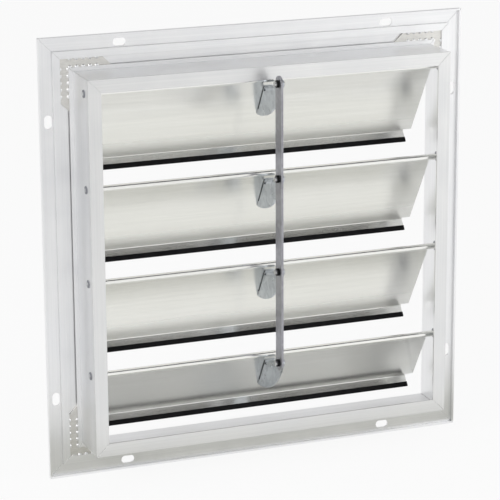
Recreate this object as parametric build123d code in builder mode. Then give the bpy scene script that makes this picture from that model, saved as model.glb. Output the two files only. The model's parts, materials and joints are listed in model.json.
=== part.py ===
"""Gravity exhaust shutter: a mitred, flanged frame with four linked blades.

X runs across the opening, Z runs up and Y points the way the air leaves.
Y = 0 is the face of the flange that bears on the building's wall, and the
origin is at the middle of the opening in that face.
"""
import os
from math import cos, radians, sin

from build123d import *

# Overall sizes of the frame
flange_width = 362.0
flange_height = 362.0
frame_depth = 42.7

# Rail section, measured inward from the outer edge of the flange
flange_border = 27.7
wall = 1.6
front_lip = 10.6
flange_depth = 4.0
rim_width = 1.6
strip_width = 11.2
strip_thickness = 1.5
channel_web = 1.4
channel_lip_thickness = 1.2
channel_slot = 1.6
outer_channel_lip = 6.0
inner_channel_lip = 3.5
mitre_gap = 0.1

# Fixing slots in the flange
slot_length = 11.0
slot_width = 6.4
slot_inset = 7.2
slot_from_corner = 66.8

# Corner keys that slide in the channel
key_leg = 35.0
key_clearance = 0.2
key_thickness = 1.4

# Blades and where their axes lie
blade_count = 4
top_axis_drop = 12.4
bottom_axis_rise = 65.6
axis_setback = 11.4
rest_angle = 32.0
sheet = 0.8
panel_shortfall = 2.2
bottom_lip_gap = 1.0
hem_notch = 4.5
lower_lip = 8.4
lower_lip_bend = 68.0
lower_lip_radius = 1.4
lower_lip_notch = 7.3
hem_curl = 300.0

# Vinyl seal on the edge of each lower lip
seal_grip = 2.0
seal_reach = 2.0
seal_thickness = 2.2

# Pivots: a steel pin in each end of the hem, turning in a nylon bush
pivot_pin_diameter = 3.2
pivot_pin_insert = 22.0
pivot_pin_proud = 0.8
pivot_clearance = 0.06
hem_clearance = 0.03
bush_barrel_diameter = 6.4
bush_barrel_proud = 0.5
bush_fit = 0.02
bush_collar_diameter = 8.4
bush_collar_length = 4.0
blade_end_play = 0.4

# Link bracket on the front of each blade, and the tie bar that joins them
link_reach = 30.5
link_rise = 2.0
bracket_sheet = 1.6
bracket_side = -2.5
bracket_flange_bend = 2.0
bracket_foot_bend = 0.4
bracket_foot_start = 9.5
bracket_foot_length = 24.0
bracket_toe = 5.5
bracket_toe_gap = 0.3
bracket_foot_width = 11.0
bracket_flange_width = 8.0
bracket_foot_radius = 3.0
bracket_relief = 5.0
bracket_eye = 3.6
shoulder_reach = 15.0
shoulder_drop = 3.2
belly_reach = 12.0
belly_drop = 23.3
bar_width = 12.7
bar_thickness = 1.6
bar_gap = 0.3
rivet_diameter = 3.2
rivet_head_diameter = 6.0
rivet_head_height = 1.3
rivet_crown_diameter = 3.6
rivet_spacing = 14.0

# Steel link pins riveted into the brackets, and the nylon caps that keep the bar on them
link_pin_diameter = 4.0
link_pin_clearance = 0.06
link_pin_fit = 0.02
link_head_diameter = 5.6
link_head_thickness = 0.8
link_tail = 1.6
retainer_diameter = 6.0
retainer_thickness = 1.6

# Worked out from the sizes above
half_width = flange_width / 2
half_height = flange_height / 2
box_half_width = half_width - flange_border
box_half_height = half_height - flange_border
front_y = flange_depth - frame_depth
axis_y = front_y + axis_setback
pitch = (2 * box_half_height - top_axis_drop - bottom_axis_rise) / (blade_count - 1)
axis_heights = [box_half_height - top_axis_drop - i * pitch for i in range(blade_count)]
hem_bore = pivot_pin_diameter / 2 + hem_clearance
hem_radius = hem_bore + sheet
panel_mid = hem_radius - sheet / 2
panel_front = hem_radius - sheet
bush_collar_end = box_half_width - wall - bush_collar_length
hem_half = bush_collar_end - blade_end_play
panel_half = hem_half - hem_notch
lip_half = panel_half - lower_lip_notch
down_blade = Vector(0, sin(radians(rest_angle)), -cos(radians(rest_angle)))
out_of_blade = Vector(0, cos(radians(rest_angle)), sin(radians(rest_angle)))
flange_fold = bracket_flange_bend + bracket_sheet
foot_fold = bracket_foot_bend + bracket_sheet
bar_side = bracket_side - bar_gap - bar_thickness
pin_y = axis_y - link_reach
pin_heights = [z + link_rise for z in axis_heights]


def save(builder, label):
    """Labels a finished piece and writes it to its own file."""
    builder.part.label = label
    export_step(builder.part, f"parts/{label}.step")


def blade_plane(height):
    """Cross-section plane of a blade: local x runs down it, local y out of its back."""
    return Plane(origin=(0, axis_y, height), x_dir=down_blade, z_dir=(1, 0, 0))


def blade_face(height):
    """Plane through a blade's axis, along its panel: local x is X, local y runs down it."""
    return Plane(origin=(0, axis_y, height), x_dir=(1, 0, 0), z_dir=out_of_blade)


def from_axis(reach, rise):
    """A point in front of a blade's axis and above it, in the blade's own section plane."""
    offset_from_axis = Vector(0, -reach, rise)
    return (offset_from_axis.dot(down_blade), offset_from_axis.dot(out_of_blade))


def panel_length(index):
    """From the axis to the bend of the lower lip; the last blade stops at the bottom rail."""
    if index == blade_count - 1:
        return bottom_axis_rise - front_lip - bottom_lip_gap
    return pitch - panel_shortfall


def rail_outline():
    """Section of the frame extrusion as (distance inward, y) points."""
    strip_front = flange_depth - strip_thickness
    slot_start = strip_width + channel_web
    slot_front = channel_lip_thickness
    slot_back = channel_lip_thickness + channel_slot
    wall_inside = flange_border + wall
    lip_edge = flange_border + front_lip
    return [
        (0, 0),
        (rim_width, 0),
        (rim_width, strip_front),
        (strip_width, strip_front),
        (strip_width, 0),
        (strip_width + outer_channel_lip, 0),
        (strip_width + outer_channel_lip, slot_front),
        (slot_start, slot_front),
        (slot_start, slot_back),
        (flange_border, slot_back),
        (flange_border, slot_front),
        (flange_border - inner_channel_lip, slot_front),
        (flange_border - inner_channel_lip, 0),
        (flange_border, 0),
        (flange_border, front_y),
        (lip_edge, front_y),
        (lip_edge, front_y + wall),
        (wall_inside, front_y + wall),
        (wall_inside, flange_depth),
        (0, flange_depth),
    ]


def make_rail(label, inward, half_across, length):
    """One mitred side of the frame, with its fixing slots and any bush holes."""
    edge = inward * -half_across
    section = Plane(origin=edge, x_dir=inward, z_dir=inward.cross(Vector(0, 1, 0)))
    along = section.z_dir
    with BuildPart() as rail:
        with BuildSketch(section):
            with BuildLine():
                Polyline(*rail_outline(), close=True)
            make_face()
        extrude(amount=length / 2, both=True)
        for end in (along, -along):
            corner = edge + end * (length / 2 - mitre_gap)
            split(bisect_by=Plane(origin=corner, z_dir=end + inward), keep=Keep.BOTTOM)
        with BuildSketch(Plane(origin=edge + inward * slot_inset, x_dir=along, z_dir=(0, 1, 0))):
            with GridLocations(length - 2 * slot_from_corner, 0, 2, 1):
                SlotOverall(slot_length, slot_width)
        extrude(amount=flange_depth, mode=Mode.SUBTRACT)
        if inward.X:
            wall_start = box_half_width - wall if inward.X < 0 else -box_half_width
            with BuildSketch(Plane.YZ.offset(wall_start)):
                with Locations(*[(axis_y, z) for z in axis_heights]):
                    Circle(bush_barrel_diameter / 2)
            extrude(amount=wall, mode=Mode.SUBTRACT)
    save(rail, label)


def make_corner_key(label, side, level):
    """Flat angle plate in the channel of two rails, with its ends cut at 45 degrees."""
    inset = strip_width + channel_web + key_clearance
    width = flange_border - key_clearance - inset
    outer_x = half_width - inset
    outer_z = half_height - inset
    outline = [
        (outer_x, outer_z),
        (outer_x, outer_z - key_leg),
        (outer_x - width, outer_z - key_leg - width),
        (outer_x - width, outer_z - width),
        (outer_x - key_leg - width, outer_z - width),
        (outer_x - key_leg, outer_z),
    ]
    play = (channel_slot - key_thickness) / 2
    with BuildPart() as key:
        with BuildSketch(Plane.XZ.offset(-(channel_lip_thickness + channel_slot - play))):
            with BuildLine():
                Polyline(*[(side * x, level * z) for x, z in outline], close=True)
            make_face()
        extrude(amount=key_thickness)
    save(key, label)


def rivet_points():
    """Rivets of a bracket's foot, as (x, distance down the blade)."""
    middle = bracket_foot_start + bracket_foot_length / 2
    across = bracket_side + (bracket_foot_width + foot_fold) / 2
    return [(across, middle + step * rivet_spacing / 2) for step in (-1, 1)]


def make_blade(index):
    """Sheet blade: curled hem on its axis, flat panel and a lower lip bent to the front."""
    height = axis_heights[index]
    length = panel_length(index)
    lip_turn = radians(lower_lip_bend)
    lip_end = (length + lower_lip * cos(lip_turn), panel_mid - lower_lip * sin(lip_turn))
    with BuildPart() as blade:
        with BuildSketch(blade_plane(height)):
            with BuildLine():
                FilletPolyline((0, panel_mid), (length, panel_mid), lip_end, radius=lower_lip_radius)
                CenterArc((0, 0), panel_mid, 90, hem_curl)
            trace(line_width=sheet)
        extrude(amount=hem_half, both=True)
        reach = length + 2 * lower_lip
        with BuildSketch(blade_face(height)):
            for side, inner_edge in ((-1, Align.MAX), (1, Align.MIN)):
                with Locations((side * panel_half, hem_radius + sheet)):
                    Rectangle(2 * hem_notch, reach, align=(inner_edge, Align.MIN))
                with Locations((side * lip_half, length - lower_lip_radius)):
                    Rectangle(reach, reach, align=(inner_edge, Align.MIN))
            with Locations(*rivet_points()):
                Circle(rivet_diameter / 2)
        extrude(amount=reach, both=True, mode=Mode.SUBTRACT)
    save(blade, f"blade_{index + 1}")


def make_seal(index):
    """Vinyl strip that grips the edge of a lower lip."""
    length = panel_length(index)
    lip_turn = radians(lower_lip_bend)
    lip_run = down_blade * cos(lip_turn) - out_of_blade * sin(lip_turn)
    bend = Vector(0, axis_y, axis_heights[index]) + down_blade * length + out_of_blade * panel_mid
    lip_edge = Plane(origin=bend + lip_run * lower_lip, x_dir=lip_run, z_dir=(1, 0, 0))
    with BuildPart() as seal:
        with BuildSketch(lip_edge):
            with Locations((-seal_grip, 0)):
                Rectangle(seal_grip + seal_reach, seal_thickness, align=(Align.MIN, Align.CENTER))
            fillet(vertices().group_by(Axis.X)[-1], seal_thickness * 0.4)
            with Locations((-seal_grip, 0)):
                Rectangle(seal_grip, sheet, align=(Align.MIN, Align.CENTER), mode=Mode.SUBTRACT)
        extrude(amount=lip_half, both=True)
    save(seal, f"blade_seal_{index + 1}")


def make_pivot(index, side, side_name):
    """Nylon bush in a side rail, and the steel pin in the end of the hem that turns in it."""
    centre = (axis_y, axis_heights[index])
    wall_inside = box_half_width - wall
    barrel_end = box_half_width + bush_barrel_proud
    with BuildPart() as bush:
        with BuildSketch(Plane.YZ.offset(side * bush_collar_end)):
            with Locations(centre):
                Circle(bush_collar_diameter / 2)
        extrude(amount=side * bush_collar_length)
        with BuildSketch(Plane.YZ.offset(side * wall_inside)):
            with Locations(centre):
                Circle(bush_barrel_diameter / 2 - bush_fit)
        extrude(amount=side * (barrel_end - wall_inside))
        with BuildSketch(Plane.YZ.offset(side * bush_collar_end)):
            with Locations(centre):
                Circle(pivot_pin_diameter / 2 + pivot_clearance)
        extrude(amount=side * (barrel_end - bush_collar_end), mode=Mode.SUBTRACT)
    save(bush, f"pivot_bush_{side_name}_{index + 1}")
    pin_start = hem_half - pivot_pin_insert
    with BuildPart() as pin:
        with BuildSketch(Plane.YZ.offset(side * pin_start)):
            with Locations(centre):
                Circle(pivot_pin_diameter / 2)
        extrude(amount=side * (barrel_end + pivot_pin_proud - pin_start))
    save(pin, f"pivot_pin_{side_name}_{index + 1}")


def make_bracket(index):
    """Folded steel bracket: a web with the link's eye, a riveted foot and a stiffening flange."""
    height = axis_heights[index]
    base = panel_front - foot_fold
    toe_level = panel_front - bracket_toe_gap
    foot_end = bracket_foot_start + bracket_foot_length
    foot_top = Vector(bracket_foot_start, panel_front)
    toe = Vector(foot_end + bracket_toe, toe_level)
    shoulder = Vector(*from_axis(shoulder_reach, -shoulder_drop))
    belly = Vector(*from_axis(belly_reach, -belly_drop))
    eye = Vector(*from_axis(link_reach, link_rise))
    eye_front = Vector(*from_axis(link_reach + bracket_eye, link_rise))
    eye_top = Vector(*from_axis(link_reach, link_rise + bracket_eye))
    eye_rim = eye + ((eye_front + eye_top) * 0.5 - eye).normalized() * bracket_eye
    top_edge = (shoulder - foot_top).normalized()
    below_fold = shoulder + Vector(-top_edge.Y, top_edge.X) * flange_fold
    heel = below_fold + top_edge * ((base - below_fold.Y) / top_edge.Y)
    flange_start = foot_top + top_edge * bracket_relief
    web_plane = blade_plane(height).offset(bracket_side)
    foot_plane = Plane(web_plane.from_local_coords(foot_top), x_dir=(1, 0, 0), z_dir=down_blade)
    top_run = down_blade * top_edge.X + out_of_blade * top_edge.Y
    flange_plane = Plane(web_plane.from_local_coords(flange_start), x_dir=(1, 0, 0), z_dir=top_run)
    with BuildPart() as bracket:
        with BuildSketch(web_plane):
            with BuildLine():
                Polyline(heel, (foot_end, base), (foot_end, toe_level), toe)
                ThreePointArc(toe, belly, eye_front)
                ThreePointArc(eye_front, eye_rim, eye_top)
                Polyline(eye_top, shoulder, below_fold, heel)
            make_face()
            with Locations(eye):
                Circle(link_pin_diameter / 2 + link_pin_fit, mode=Mode.SUBTRACT)
        extrude(amount=bracket_sheet)
        with BuildSketch(flange_plane):
            with BuildLine():
                CenterArc((flange_fold, -flange_fold), flange_fold - bracket_sheet / 2, 90, 90)
            trace(line_width=bracket_sheet)
            with Locations((flange_fold, 0)):
                Rectangle(bracket_flange_width - flange_fold, bracket_sheet, align=(Align.MIN, Align.MAX))
        extrude(amount=(shoulder - flange_start).length)
        with BuildSketch(foot_plane):
            with BuildLine():
                CenterArc((foot_fold, foot_fold), foot_fold - bracket_sheet / 2, 180, 90)
            trace(line_width=bracket_sheet)
        extrude(amount=bracket_foot_length)
        with BuildSketch(blade_face(height).offset(panel_front - bracket_sheet)):
            with Locations((bracket_side + foot_fold, bracket_foot_start)):
                Rectangle(
                    bracket_foot_width - foot_fold,
                    bracket_foot_length,
                    align=(Align.MIN, Align.MIN),
                )
            fillet(vertices().group_by(Axis.X)[-1], bracket_foot_radius)
            with Locations(*rivet_points()):
                Circle(rivet_diameter / 2, mode=Mode.SUBTRACT)
        extrude(amount=bracket_sheet)
    save(bracket, f"link_bracket_{index + 1}")


def make_rivets(index):
    """The two rivets that hold a bracket's foot to its blade, with a low head on both sides."""
    head = rivet_head_diameter / 2
    crown = rivet_crown_diameter / 2
    shank = rivet_diameter / 2
    front = bracket_sheet - panel_front
    back = -hem_radius
    outline = [
        (0, back - rivet_head_height),
        (crown, back - rivet_head_height),
        (head, back),
        (shank, back),
        (shank, front),
        (head, front),
        (crown, front + rivet_head_height),
        (0, front + rivet_head_height),
    ]
    with BuildPart() as rivets:
        for across, down in rivet_points():
            centre = Vector(across, axis_y, axis_heights[index]) + down_blade * down
            with BuildSketch(Plane(origin=centre, x_dir=(1, 0, 0), z_dir=down_blade)):
                with BuildLine():
                    Polyline(*outline, close=True)
                make_face()
            revolve(axis=Axis(centre, out_of_blade))
    save(rivets, f"bracket_rivets_{index + 1}")


def make_tie_bar():
    """Flat bar with round ends that joins the four link pins."""
    middle = (pin_heights[0] + pin_heights[-1]) / 2
    with BuildPart() as bar:
        with BuildSketch(Plane.YZ.offset(bar_side)):
            with Locations((pin_y, middle)):
                SlotCenterToCenter(pin_heights[0] - pin_heights[-1], bar_width, rotation=90)
            with Locations(*[(pin_y, z) for z in pin_heights]):
                Circle(link_pin_diameter / 2 + link_pin_clearance, mode=Mode.SUBTRACT)
        extrude(amount=bar_thickness)
    save(bar, "tie_bar")


def make_link_pin(index):
    """Steel pin riveted into a bracket's eye, and the nylon cap that keeps the bar on it."""
    centre = (pin_y, pin_heights[index])
    web_right = bracket_side + bracket_sheet
    cap_right = bar_side - bar_gap
    pin_left = cap_right - retainer_thickness - link_tail
    with BuildPart() as pin:
        with BuildSketch(Plane.YZ.offset(web_right)):
            with Locations(centre):
                Circle(link_head_diameter / 2)
        extrude(amount=link_head_thickness)
        with BuildSketch(Plane.YZ.offset(pin_left)):
            with Locations(centre):
                Circle(link_pin_diameter / 2)
        extrude(amount=web_right - pin_left)
    save(pin, f"link_pin_{index + 1}")
    with BuildPart() as retainer:
        with BuildSketch(Plane.YZ.offset(cap_right)):
            with Locations(centre):
                Circle(retainer_diameter / 2)
                Circle(link_pin_diameter / 2 + link_pin_fit, mode=Mode.SUBTRACT)
        extrude(amount=-retainer_thickness)
    save(retainer, f"link_retainer_{index + 1}")


os.makedirs("parts", exist_ok=True)
make_rail("top_rail", Vector(0, 0, -1), half_height, flange_width)
make_rail("bottom_rail", Vector(0, 0, 1), half_height, flange_width)
make_rail("left_rail", Vector(1, 0, 0), half_width, flange_height)
make_rail("right_rail", Vector(-1, 0, 0), half_width, flange_height)
for side, side_name in ((-1, "left"), (1, "right")):
    for level, level_name in ((1, "top"), (-1, "bottom")):
        make_corner_key(f"corner_key_{level_name}_{side_name}", side, level)
for blade in range(blade_count):
    make_blade(blade)
    make_seal(blade)
    make_bracket(blade)
    make_rivets(blade)
    make_link_pin(blade)
    for side, side_name in ((-1, "left"), (1, "right")):
        make_pivot(blade, side, side_name)
make_tie_bar()
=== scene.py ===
import json
from math import cos, pi, radians, sin

import bmesh
import bpy
from mathutils import Matrix, Vector


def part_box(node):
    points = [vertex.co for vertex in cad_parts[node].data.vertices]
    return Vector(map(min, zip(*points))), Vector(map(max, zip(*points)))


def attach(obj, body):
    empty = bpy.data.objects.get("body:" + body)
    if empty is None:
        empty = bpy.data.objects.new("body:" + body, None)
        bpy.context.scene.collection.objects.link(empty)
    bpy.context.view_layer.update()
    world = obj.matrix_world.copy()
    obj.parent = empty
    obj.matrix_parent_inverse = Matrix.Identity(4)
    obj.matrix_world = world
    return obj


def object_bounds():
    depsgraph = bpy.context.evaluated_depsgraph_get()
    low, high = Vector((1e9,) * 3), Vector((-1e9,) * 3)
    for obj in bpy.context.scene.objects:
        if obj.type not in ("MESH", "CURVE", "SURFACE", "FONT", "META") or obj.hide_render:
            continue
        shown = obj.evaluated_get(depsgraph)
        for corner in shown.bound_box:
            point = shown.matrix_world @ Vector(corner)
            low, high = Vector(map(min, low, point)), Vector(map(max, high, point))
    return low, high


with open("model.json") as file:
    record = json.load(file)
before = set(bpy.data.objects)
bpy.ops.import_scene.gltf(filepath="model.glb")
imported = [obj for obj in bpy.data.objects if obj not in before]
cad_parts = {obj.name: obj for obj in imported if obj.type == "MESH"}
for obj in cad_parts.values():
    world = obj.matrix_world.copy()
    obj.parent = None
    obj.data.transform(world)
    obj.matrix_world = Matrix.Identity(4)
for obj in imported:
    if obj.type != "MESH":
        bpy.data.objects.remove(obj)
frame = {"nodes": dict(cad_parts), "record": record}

cad_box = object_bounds()
half_width = cad_box[1].x
floor_level = cad_box[0].z
nodes = frame["nodes"]
scene = bpy.context.scene
scene.view_settings.view_transform = "Standard"


# Materials

white = (1.0, 1.0, 1.0)

# Front lips of the rails, and how far back their handled tone goes
lip_face_y = -0.0387
handled_end_y = -0.030

# Lower end of the long blades' panels, by its depth at rest
dull_start_y = 0.002
dull_end_y = 0.011
dull_roughness = 0.36


def grey(value):
    """A neutral colour."""
    return (value, value, value)


class Shader:
    """A principled material whose textures are placed in the part's own frame, in metres."""

    def __init__(self, name, metallic, roughness, **sockets):
        self.material = bpy.data.materials.new(name)
        self.material.use_nodes = True
        self.tree = self.material.node_tree
        self.nodes = self.tree.nodes
        self.links = self.tree.links
        self.bsdf = self.nodes["Principled BSDF"]
        self.bsdf.inputs["Metallic"].default_value = metallic
        self.bsdf.inputs["Roughness"].default_value = roughness
        for socket, value in sockets.items():
            self.bsdf.inputs[socket.replace("_", " ")].default_value = value
        self.coordinates = self.nodes.new("ShaderNodeTexCoord")
        self.normal = None

    def rounded_edges(self, radius):
        """Rounds the shading of sharp edges, and gives 1 on an edge and 0 on a flat face."""
        bevel = self.nodes.new("ShaderNodeBevel")
        bevel.samples = 4
        bevel.inputs["Radius"].default_value = radius
        self.normal = bevel.outputs["Normal"]
        self.links.new(self.normal, self.bsdf.inputs["Normal"])
        geometry = self.nodes.new("ShaderNodeNewGeometry")
        agreement = self.nodes.new("ShaderNodeVectorMath")
        agreement.operation = "DOT_PRODUCT"
        self.links.new(self.normal, agreement.inputs[0])
        self.links.new(geometry.outputs["True Normal"], agreement.inputs[1])
        return self.spread(agreement.outputs["Value"], low=1.0, high=0.0, start=0.75, end=0.99)

    def grain_along(self, direction):
        """Sets the direction of a grain, which reflections are spread across."""
        node = self.nodes.new("ShaderNodeCombineXYZ")
        for axis, value in zip("XYZ", direction):
            node.inputs[axis].default_value = value
        self.links.new(node.outputs["Vector"], self.bsdf.inputs["Tangent"])

    def creases(self, reach):
        """1 in the open and less in corners and joints; colour multiplied by it is painted shade
        there.
        """
        node = self.nodes.new("ShaderNodeAmbientOcclusion")
        node.samples = 8
        node.inputs["Distance"].default_value = reach
        return node.outputs["AO"]

    def noise(self, scale, detail=3.0, rough=0.55, stretch=(1, 1, 1)):
        """Noise of about one cell in 1/scale metres, drawn out by the stretch of each axis."""
        mapping = self.nodes.new("ShaderNodeMapping")
        mapping.inputs["Scale"].default_value = [scale / s for s in stretch]
        self.links.new(self.coordinates.outputs["Object"], mapping.inputs["Vector"])
        texture = self.nodes.new("ShaderNodeTexNoise")
        texture.inputs["Scale"].default_value = 1.0
        texture.inputs["Detail"].default_value = detail
        texture.inputs["Roughness"].default_value = rough
        self.links.new(mapping.outputs["Vector"], texture.inputs["Vector"])
        return texture.outputs["Fac"]

    def depth(self, front, back):
        """0 at one depth of the part and 1 at another."""
        axes = self.nodes.new("ShaderNodeSeparateXYZ")
        self.links.new(self.coordinates.outputs["Object"], axes.inputs["Vector"])
        return self.spread(axes.outputs["Y"], low=0.0, high=1.0, start=front, end=back)

    def facing_down(self):
        """1 on faces that look down at rest and 0 on faces that look up."""
        axes = self.nodes.new("ShaderNodeSeparateXYZ")
        self.links.new(self.coordinates.outputs["Normal"], axes.inputs["Vector"])
        return self.spread(axes.outputs["Z"], low=1.0, high=0.0, start=-0.3, end=0.2)

    def cells(self, scale):
        """Flat crystal cells, each with its own shade."""
        texture = self.nodes.new("ShaderNodeTexVoronoi")
        texture.inputs["Scale"].default_value = scale
        self.links.new(self.coordinates.outputs["Object"], texture.inputs["Vector"])
        return texture.outputs["Color"]

    def ramp(self, factor, *stops):
        """Colours by position along a factor."""
        node = self.nodes.new("ShaderNodeValToRGB")
        for element, (position, colour) in zip(node.color_ramp.elements, stops):
            element.position = position
            element.color = (*colour, 1)
        self.links.new(factor, node.inputs["Fac"])
        return node.outputs["Color"]

    def multiply(self, first, second):
        """One colour or value scaled by another."""
        node = self.nodes.new("ShaderNodeMix")
        node.data_type = "RGBA"
        node.blend_type = "MULTIPLY"
        node.inputs["Factor"].default_value = 1.0
        self.links.new(first, node.inputs["A"])
        self.links.new(second, node.inputs["B"])
        return node.outputs["Result"]

    def worn(self, surface, mask, bare):
        """A colour or value that gives way to a fixed one where the mask is 1."""
        node = self.nodes.new("ShaderNodeMix")
        node.data_type = "RGBA"
        node.inputs["B"].default_value = (*bare, 1)
        self.links.new(mask, node.inputs["Factor"])
        self.links.new(surface, node.inputs["A"])
        return node.outputs["Result"]

    def spread(self, factor, low, high, start=0.3, end=0.7):
        """A factor mapped to a range of values."""
        node = self.nodes.new("ShaderNodeMapRange")
        node.inputs["From Min"].default_value = start
        node.inputs["From Max"].default_value = end
        node.inputs["To Min"].default_value = low
        node.inputs["To Max"].default_value = high
        self.links.new(factor, node.inputs["Value"])
        return node.outputs["Result"]

    def colour(self, socket):
        self.links.new(socket, self.bsdf.inputs["Base Color"])

    def roughness(self, socket):
        self.links.new(socket, self.bsdf.inputs["Roughness"])

    def bump(self, height, strength, distance):
        """Adds a layer of relief on top of any earlier one."""
        node = self.nodes.new("ShaderNodeBump")
        node.inputs["Strength"].default_value = strength
        node.inputs["Distance"].default_value = distance
        self.links.new(height, node.inputs["Height"])
        if self.normal:
            self.links.new(self.normal, node.inputs["Normal"])
        self.normal = node.outputs["Normal"]
        self.links.new(self.normal, self.bsdf.inputs["Normal"])


def extruded(name, stretch):
    """Mill-finish extrusion: die lines along it, smears of tone, handled lips, rubbed edges."""
    s = Shader(name, metallic=1.0, roughness=0.34)
    edges = s.rounded_edges(radius=0.00025)
    # Painted shade: corners and joints of the extrusion darkened by ambient occlusion
    painted_crease_shade = s.ramp(s.creases(reach=0.0015), (0.15, (0.45, 0.45, 0.46)), (0.6, white))
    lines = s.noise(scale=900, detail=2.0, stretch=stretch)
    smears = s.noise(scale=22)
    tone = s.ramp(smears, (0.3, (0.86, 0.866, 0.876)), (0.7, (0.915, 0.917, 0.917)))
    marks = s.ramp(lines, (0.3, (0.94, 0.94, 0.945)), (0.7, white))
    front = s.depth(lip_face_y, handled_end_y)
    handled = s.ramp(front, (0.1, (0.91, 0.91, 0.90)), (0.9, white))
    tone = s.multiply(s.multiply(tone, marks), handled)
    s.colour(s.multiply(s.worn(tone, edges, bare=grey(0.95)), painted_crease_shade))
    s.roughness(s.spread(smears, low=0.28, high=0.42))
    s.bump(lines, strength=0.12, distance=0.00008)
    return s.material


def rolled_sheet():
    """Bright blade sheet: rolling grain along the blade, cloudy sheen, cut edges, and a duller
    lower end of the long panels, where the seal would otherwise be mirrored as a dark line."""
    s = Shader("rolled_sheet", metallic=1.0, roughness=0.22,
               Anisotropic=0.65, Anisotropic_Rotation=0.25)
    s.grain_along((1, 0, 0))
    edges = s.rounded_edges(radius=0.0002)
    # Painted shade: creases of the blade darkened by ambient occlusion
    painted_crease_shade = s.ramp(s.creases(reach=0.003), (0.2, grey(0.25)), (0.65, white))
    grain = s.noise(scale=1100, stretch=(90, 1, 1))
    bands = s.noise(scale=330, stretch=(70, 1, 1))
    streaks = s.ramp(bands, (0.3, (0.965, 0.965, 0.96)), (0.65, white))
    clouds = s.noise(scale=16, detail=4.0, stretch=(2.5, 1, 1))
    tone = s.ramp(clouds, (0.3, (0.92, 0.92, 0.89)), (0.7, (0.97, 0.97, 0.945)))
    marks = s.ramp(grain, (0.3, grey(0.96)), (0.7, white))
    tone = s.multiply(s.multiply(tone, marks), streaks)
    s.colour(s.multiply(s.worn(tone, edges, bare=(0.97, 0.97, 0.96)), painted_crease_shade))
    dulled = s.multiply(s.depth(dull_start_y, dull_end_y), s.facing_down())
    sheen = s.spread(clouds, low=0.18, high=0.25)
    s.roughness(s.worn(sheen, dulled, bare=grey(dull_roughness)))
    s.bump(grain, strength=0.10, distance=0.00006)
    return s.material


def galvanised(name, light, dark, rough):
    """Zinc-coated steel: crystal cells under a dull bloom, bright sheared edges."""
    s = Shader(name, metallic=1.0, roughness=rough)
    edges = s.rounded_edges(radius=0.00025)
    # Painted shade: creases of the zinc part darkened by ambient occlusion
    painted_crease_shade = s.ramp(s.creases(reach=0.003), (0.2, grey(0.25)), (0.65, white))
    crystals = s.ramp(s.cells(scale=260), (0.2, dark), (0.8, light))
    bloom = s.noise(scale=120, detail=4.0)
    haze = s.ramp(bloom, (0.35, (0.90, 0.90, 0.91)), (0.65, white))
    zinc = s.multiply(crystals, haze)
    s.colour(s.multiply(s.worn(zinc, edges, bare=(0.86, 0.87, 0.88)), painted_crease_shade))
    s.roughness(s.spread(bloom, low=rough - 0.07, high=rough + 0.08))
    s.bump(bloom, strength=0.08, distance=0.0001)
    return s.material


def plated(name, light, dark, rough):
    """Plain drawn or stamped metal with short scuffs and rubbed edges."""
    s = Shader(name, metallic=1.0, roughness=rough)
    edges = s.rounded_edges(radius=0.0002)
    scuffs = s.noise(scale=700, stretch=(4, 1, 1))
    plating = s.ramp(scuffs, (0.3, dark), (0.7, light))
    s.colour(s.worn(plating, edges, bare=grey(0.88)))
    s.roughness(s.spread(scuffs, low=rough - 0.08, high=rough + 0.1))
    s.bump(scuffs, strength=0.08, distance=0.00005)
    return s.material


def moulded(name, colour, pale, rough, gloss=0.25):
    """Moulded nylon or vinyl with a fine skin and a little bloom."""
    s = Shader(name, metallic=0.0, roughness=rough, Specular_IOR_Level=gloss)
    skin = s.noise(scale=2500, detail=2.0)
    bloom = s.noise(scale=140)
    s.colour(s.ramp(bloom, (0.35, colour), (0.75, pale)))
    s.roughness(s.spread(bloom, low=rough - 0.08, high=rough + 0.1))
    s.bump(skin, strength=0.15, distance=0.00005)
    return s.material


die_line_stretch = 120
along_x = extruded("extrusion_across", (die_line_stretch, 1, 1))
along_z = extruded("extrusion_upright", (1, 1, die_line_stretch))
finishes = {
    "blade": rolled_sheet(),
    "seal": moulded("vinyl", (0.004, 0.004, 0.005), (0.009, 0.009, 0.01), 0.5, gloss=0.12),
    "bush": moulded("bush_nylon", (0.24, 0.25, 0.275), (0.32, 0.33, 0.355), 0.45),
    "link_retainer": moulded("cap_nylon", (0.006, 0.006, 0.007), (0.014, 0.014, 0.015), 0.45,
                             gloss=0.15),
    "link_pin": plated("link_steel", (0.60, 0.60, 0.60), (0.46, 0.46, 0.47), 0.35),
    "bracket": galvanised("bracket_zinc", (0.60, 0.635, 0.67), (0.47, 0.50, 0.54), 0.32),
    "tie_bar": galvanised("bar_zinc", (0.41, 0.41, 0.44), (0.33, 0.33, 0.36), 0.40),
    "corner_key": plated("key_steel", (0.76, 0.75, 0.72), (0.66, 0.65, 0.62), 0.40),
    "rivet": plated("rivet_metal", (0.86, 0.86, 0.86), (0.74, 0.74, 0.75), 0.3),
    "pivot_pin": plated("pin_steel", (0.72, 0.72, 0.73), (0.58, 0.58, 0.60), 0.3),
}
for part in frame["record"]["subparts"]:
    node, slot = part["node"], part["material_slot"]
    rail_finish = along_x if node in ("top_rail", "bottom_rail") else along_z
    mesh = nodes[node].data
    mesh.materials.clear()
    mesh.materials.append(finishes.get(slot, rail_finish))


# Punch marks that hold the corner keys in their channel

stake_radius = 0.0017
stake_height = 0.00095
stake_start = 0.0255
stake_pitch = 0.0055
stake_count = 5
stake_steps = 8
stake_rings = 3
outer_lip_edge = 0.0172
inner_lip_edge = 0.0242
key_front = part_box("corner_key_top_left")[0].y


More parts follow.
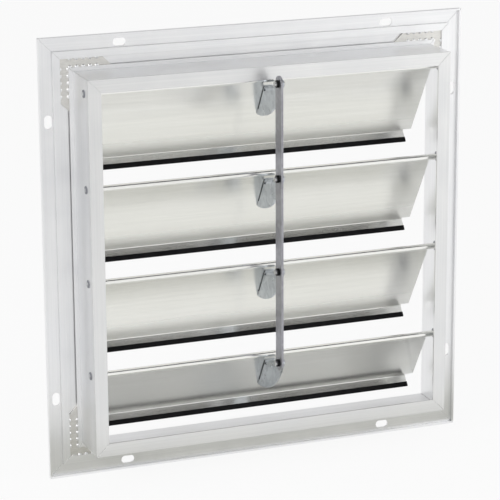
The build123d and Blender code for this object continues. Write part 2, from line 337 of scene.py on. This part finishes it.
def stake(bm, centre, along, into):
    """Quarter dome of lip metal pushed over the key, closed on its two flat sides."""
    turns = [pi * step / stake_steps for step in range(stake_steps + 1)]
    rows = []
    for ring in range(stake_rings):
        lift = pi / 2 * ring / stake_rings
        reach = stake_radius * cos(lift)
        level = centre + Vector((0, -stake_height * sin(lift), 0))
        outline = [level + (along * cos(t) + into * sin(t)) * reach for t in turns]
        rows.append([bm.verts.new(point) for point in outline])
    crown = bm.verts.new(centre + Vector((0, -stake_height, 0)))
    for low, high in zip(rows, rows[1:]):
        for step in range(stake_steps):
            bm.faces.new((low[step], low[step + 1], high[step + 1], high[step]))
    for step in range(stake_steps):
        bm.faces.new((rows[-1][step], rows[-1][step + 1], crown))
    bm.faces.new(rows[0])
    bm.faces.new([row[0] for row in rows] + [crown] + [row[-1] for row in reversed(rows)])


def stakes_of(rail, inward):
    """The rows of punch marks at both ends of a rail, on both lips of its channel."""
    along = inward.cross(Vector((0, 1, 0)))
    edge = -inward * half_width
    bm = bmesh.new()
    for end in (along, -along):
        for index in range(stake_count):
            run = end * (half_width - stake_start - index * stake_pitch)
            for inset, into in ((outer_lip_edge, inward), (inner_lip_edge, -inward)):
                centre = edge + run + inward * inset
                centre.y = key_front
                stake(bm, centre, along, into)
    bmesh.ops.recalc_face_normals(bm, faces=bm.faces)
    mesh = bpy.data.meshes.new(f"{rail}_stakes")
    bm.to_mesh(mesh)
    bm.free()
    mesh.materials.append(nodes[rail].data.materials[0])
    piece = bpy.data.objects.new(mesh.name, mesh)
    scene.collection.objects.link(piece)
    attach(piece, "frame")


inward_of = {
    "top_rail": (0, 0, -1),
    "bottom_rail": (0, 0, 1),
    "left_rail": (1, 0, 0),
    "right_rail": (-1, 0, 0),
}
for rail, inward in inward_of.items():
    stakes_of(rail, Vector(inward))


# Studio

ambient = 0.5
floor_size = 8
floor_gap = 0.0004
floor_white = grey(0.95)
floor_glow_share = 0.90
card_height = floor_level + 0.001


def seen_directly(tree, share):
    """The given share for rays that the camera, a mirror or glass sends, and 0 for other light."""
    path = tree.nodes.new("ShaderNodeLightPath")
    total = path.outputs["Is Camera Ray"]
    for ray in ("Is Glossy Ray", "Is Transmission Ray"):
        larger = tree.nodes.new("ShaderNodeMath")
        larger.operation = "MAXIMUM"
        tree.links.new(total, larger.inputs[0])
        tree.links.new(path.outputs[ray], larger.inputs[1])
        total = larger.outputs["Value"]
    scaled = tree.nodes.new("ShaderNodeMath")
    scaled.operation = "MULTIPLY"
    scaled.inputs[1].default_value = share
    tree.links.new(total, scaled.inputs[0])
    return scaled.outputs["Value"]


def empty_material(name):
    """A new material, its node tree, and the output that is the only node in it."""
    material = bpy.data.materials.new(name)
    material.use_nodes = True
    tree = material.node_tree
    tree.nodes.clear()
    return material, tree, tree.nodes.new("ShaderNodeOutputMaterial")


def studio_white(name, colour, share):
    """Diffuse white that the camera and mirrors see as nearly plain white, with some shadow."""
    material, tree, output = empty_material(name)
    diffuse = tree.nodes.new("ShaderNodeBsdfDiffuse")
    diffuse.inputs["Color"].default_value = (*colour, 1)
    glow = tree.nodes.new("ShaderNodeEmission")
    glow.inputs["Strength"].default_value = 1.0
    mix = tree.nodes.new("ShaderNodeMixShader")
    tree.links.new(seen_directly(tree, share), mix.inputs["Fac"])
    tree.links.new(diffuse.outputs["BSDF"], mix.inputs[1])
    tree.links.new(glow.outputs["Emission"], mix.inputs[2])
    tree.links.new(mix.outputs["Shader"], output.inputs["Surface"])
    return material


def flag(name, location, facing, width, height, colour):
    """Studio card that only mirror reflections see, so it neither shades the part nor shows."""
    material, tree, output = empty_material(name)
    glow = tree.nodes.new("ShaderNodeEmission")
    glow.inputs["Color"].default_value = (*colour, 1)
    tree.links.new(glow.outputs["Emission"], output.inputs["Surface"])
    bpy.ops.mesh.primitive_plane_add(size=1, location=location)
    card = bpy.context.object
    card.name = name
    card.scale = (width, height, 1)
    card.rotation_euler = Vector(facing).to_track_quat("Z", "Y").to_euler()
    card.data.materials.append(material)
    card.visible_camera = False
    card.visible_diffuse = False
    card.visible_shadow = False
    card.visible_transmission = False


def softbox(name, location, width, height, power):
    """Area lamp that faces the middle of the part."""
    lamp = bpy.data.lights.new(name, "AREA")
    lamp.shape = "RECTANGLE"
    lamp.size, lamp.size_y = width, height
    lamp.energy = power
    holder = bpy.data.objects.new(name, lamp)
    holder.location = location
    holder.rotation_euler = (-Vector(location)).to_track_quat("-Z", "Y").to_euler()
    scene.collection.objects.link(holder)


world = bpy.data.worlds.new("studio")
scene.world = world
world.use_nodes = True
tree = world.node_tree
background = tree.nodes["Background"]
background.inputs["Color"].default_value = (*white, 1)
add = tree.nodes.new("ShaderNodeMath")
add.operation = "ADD"
add.inputs[1].default_value = ambient
tree.links.new(seen_directly(tree, 1 - ambient), add.inputs[0])
tree.links.new(add.outputs["Value"], background.inputs["Strength"])

bpy.ops.mesh.primitive_plane_add(size=floor_size, location=(0, 0, floor_level - floor_gap))
floor = bpy.context.object
floor.name = "floor"
floor.data.materials.append(studio_white("floor_white", floor_white, floor_glow_share))

# Upper part of the blades: a grey card on the floor just in front, seen only in reflections, that
# stands in for the part's own shadow there; a painted shadow
flag("front_shadow_card", location=(0.15, -0.052, card_height), facing=(0, 0, 1),
     width=0.90, height=0.100, colour=(0.51, 0.51, 0.47))
# Left part of the faces that look forward: a grey card on the floor further in front, seen only in
# reflections, that darkens the floor there as a shadow would; a painted shadow
flag("far_shadow_card", location=(-0.30, -1.15, card_height), facing=(0, 0, 1),
     width=1.3, height=0.8, colour=grey(0.66))
# Lower lips of the blades
flag("overhead_flag", location=(0.38, -0.66, 0.94), facing=(0, 0.58, -0.81),
     width=1.1, height=0.78, colour=grey(0.04))
# Webs of the brackets, which the lower lips mirror
flag("upper_left_flag", location=(-0.41, -0.74, 0.86), facing=(0.33, 0.59, -0.74),
     width=0.6, height=0.7, colour=grey(0.25))
# Faces seen from the back and the sides
flag("back_flag", location=(0.1, 1.05, 0.75), facing=(0, -0.85, -0.53),
     width=2.4, height=0.8, colour=grey(0.50))
flag("left_flag", location=(-1.3, 0.30, 0.45), facing=(0.95, 0, -0.3),
     width=1.1, height=1.6, colour=grey(0.58))
flag("right_flag", location=(1.3, 0.30, 0.45), facing=(-0.95, 0, -0.3),
     width=1.1, height=1.6, colour=grey(0.58))

softbox("key", location=(-1.7, -1.2, 1.1), width=1.4, height=1.0, power=16)
softbox("fill", location=(1.5, -1.2, 0.5), width=1.0, height=1.4, power=6)


# Camera at the photograph's angle

image_width = 500
sensor_width = 36
focal_px = 2318
yaw, pitch, roll = radians(21.0), radians(15.61), radians(-0.30)
distance = 1.897
centre_px = (257.5, 242.0)
forward = Vector((sin(yaw) * cos(pitch), cos(yaw) * cos(pitch), -sin(pitch)))
level = forward.cross(Vector((0, 0, 1))).normalized()
right = level * cos(roll) + level.cross(forward) * sin(roll)
up = right.cross(forward)
aside, below = [(c - image_width / 2) * distance / focal_px for c in centre_px]
lens = bpy.data.cameras.new("camera")
lens.sensor_width = sensor_width
lens.lens = sensor_width * focal_px / image_width
camera = bpy.data.objects.new("camera", lens)
camera.rotation_euler = Matrix((right, up, -forward)).transposed().to_euler()
camera.location = -forward * distance - right * aside + up * below
scene.collection.objects.link(camera)
scene.camera = camera
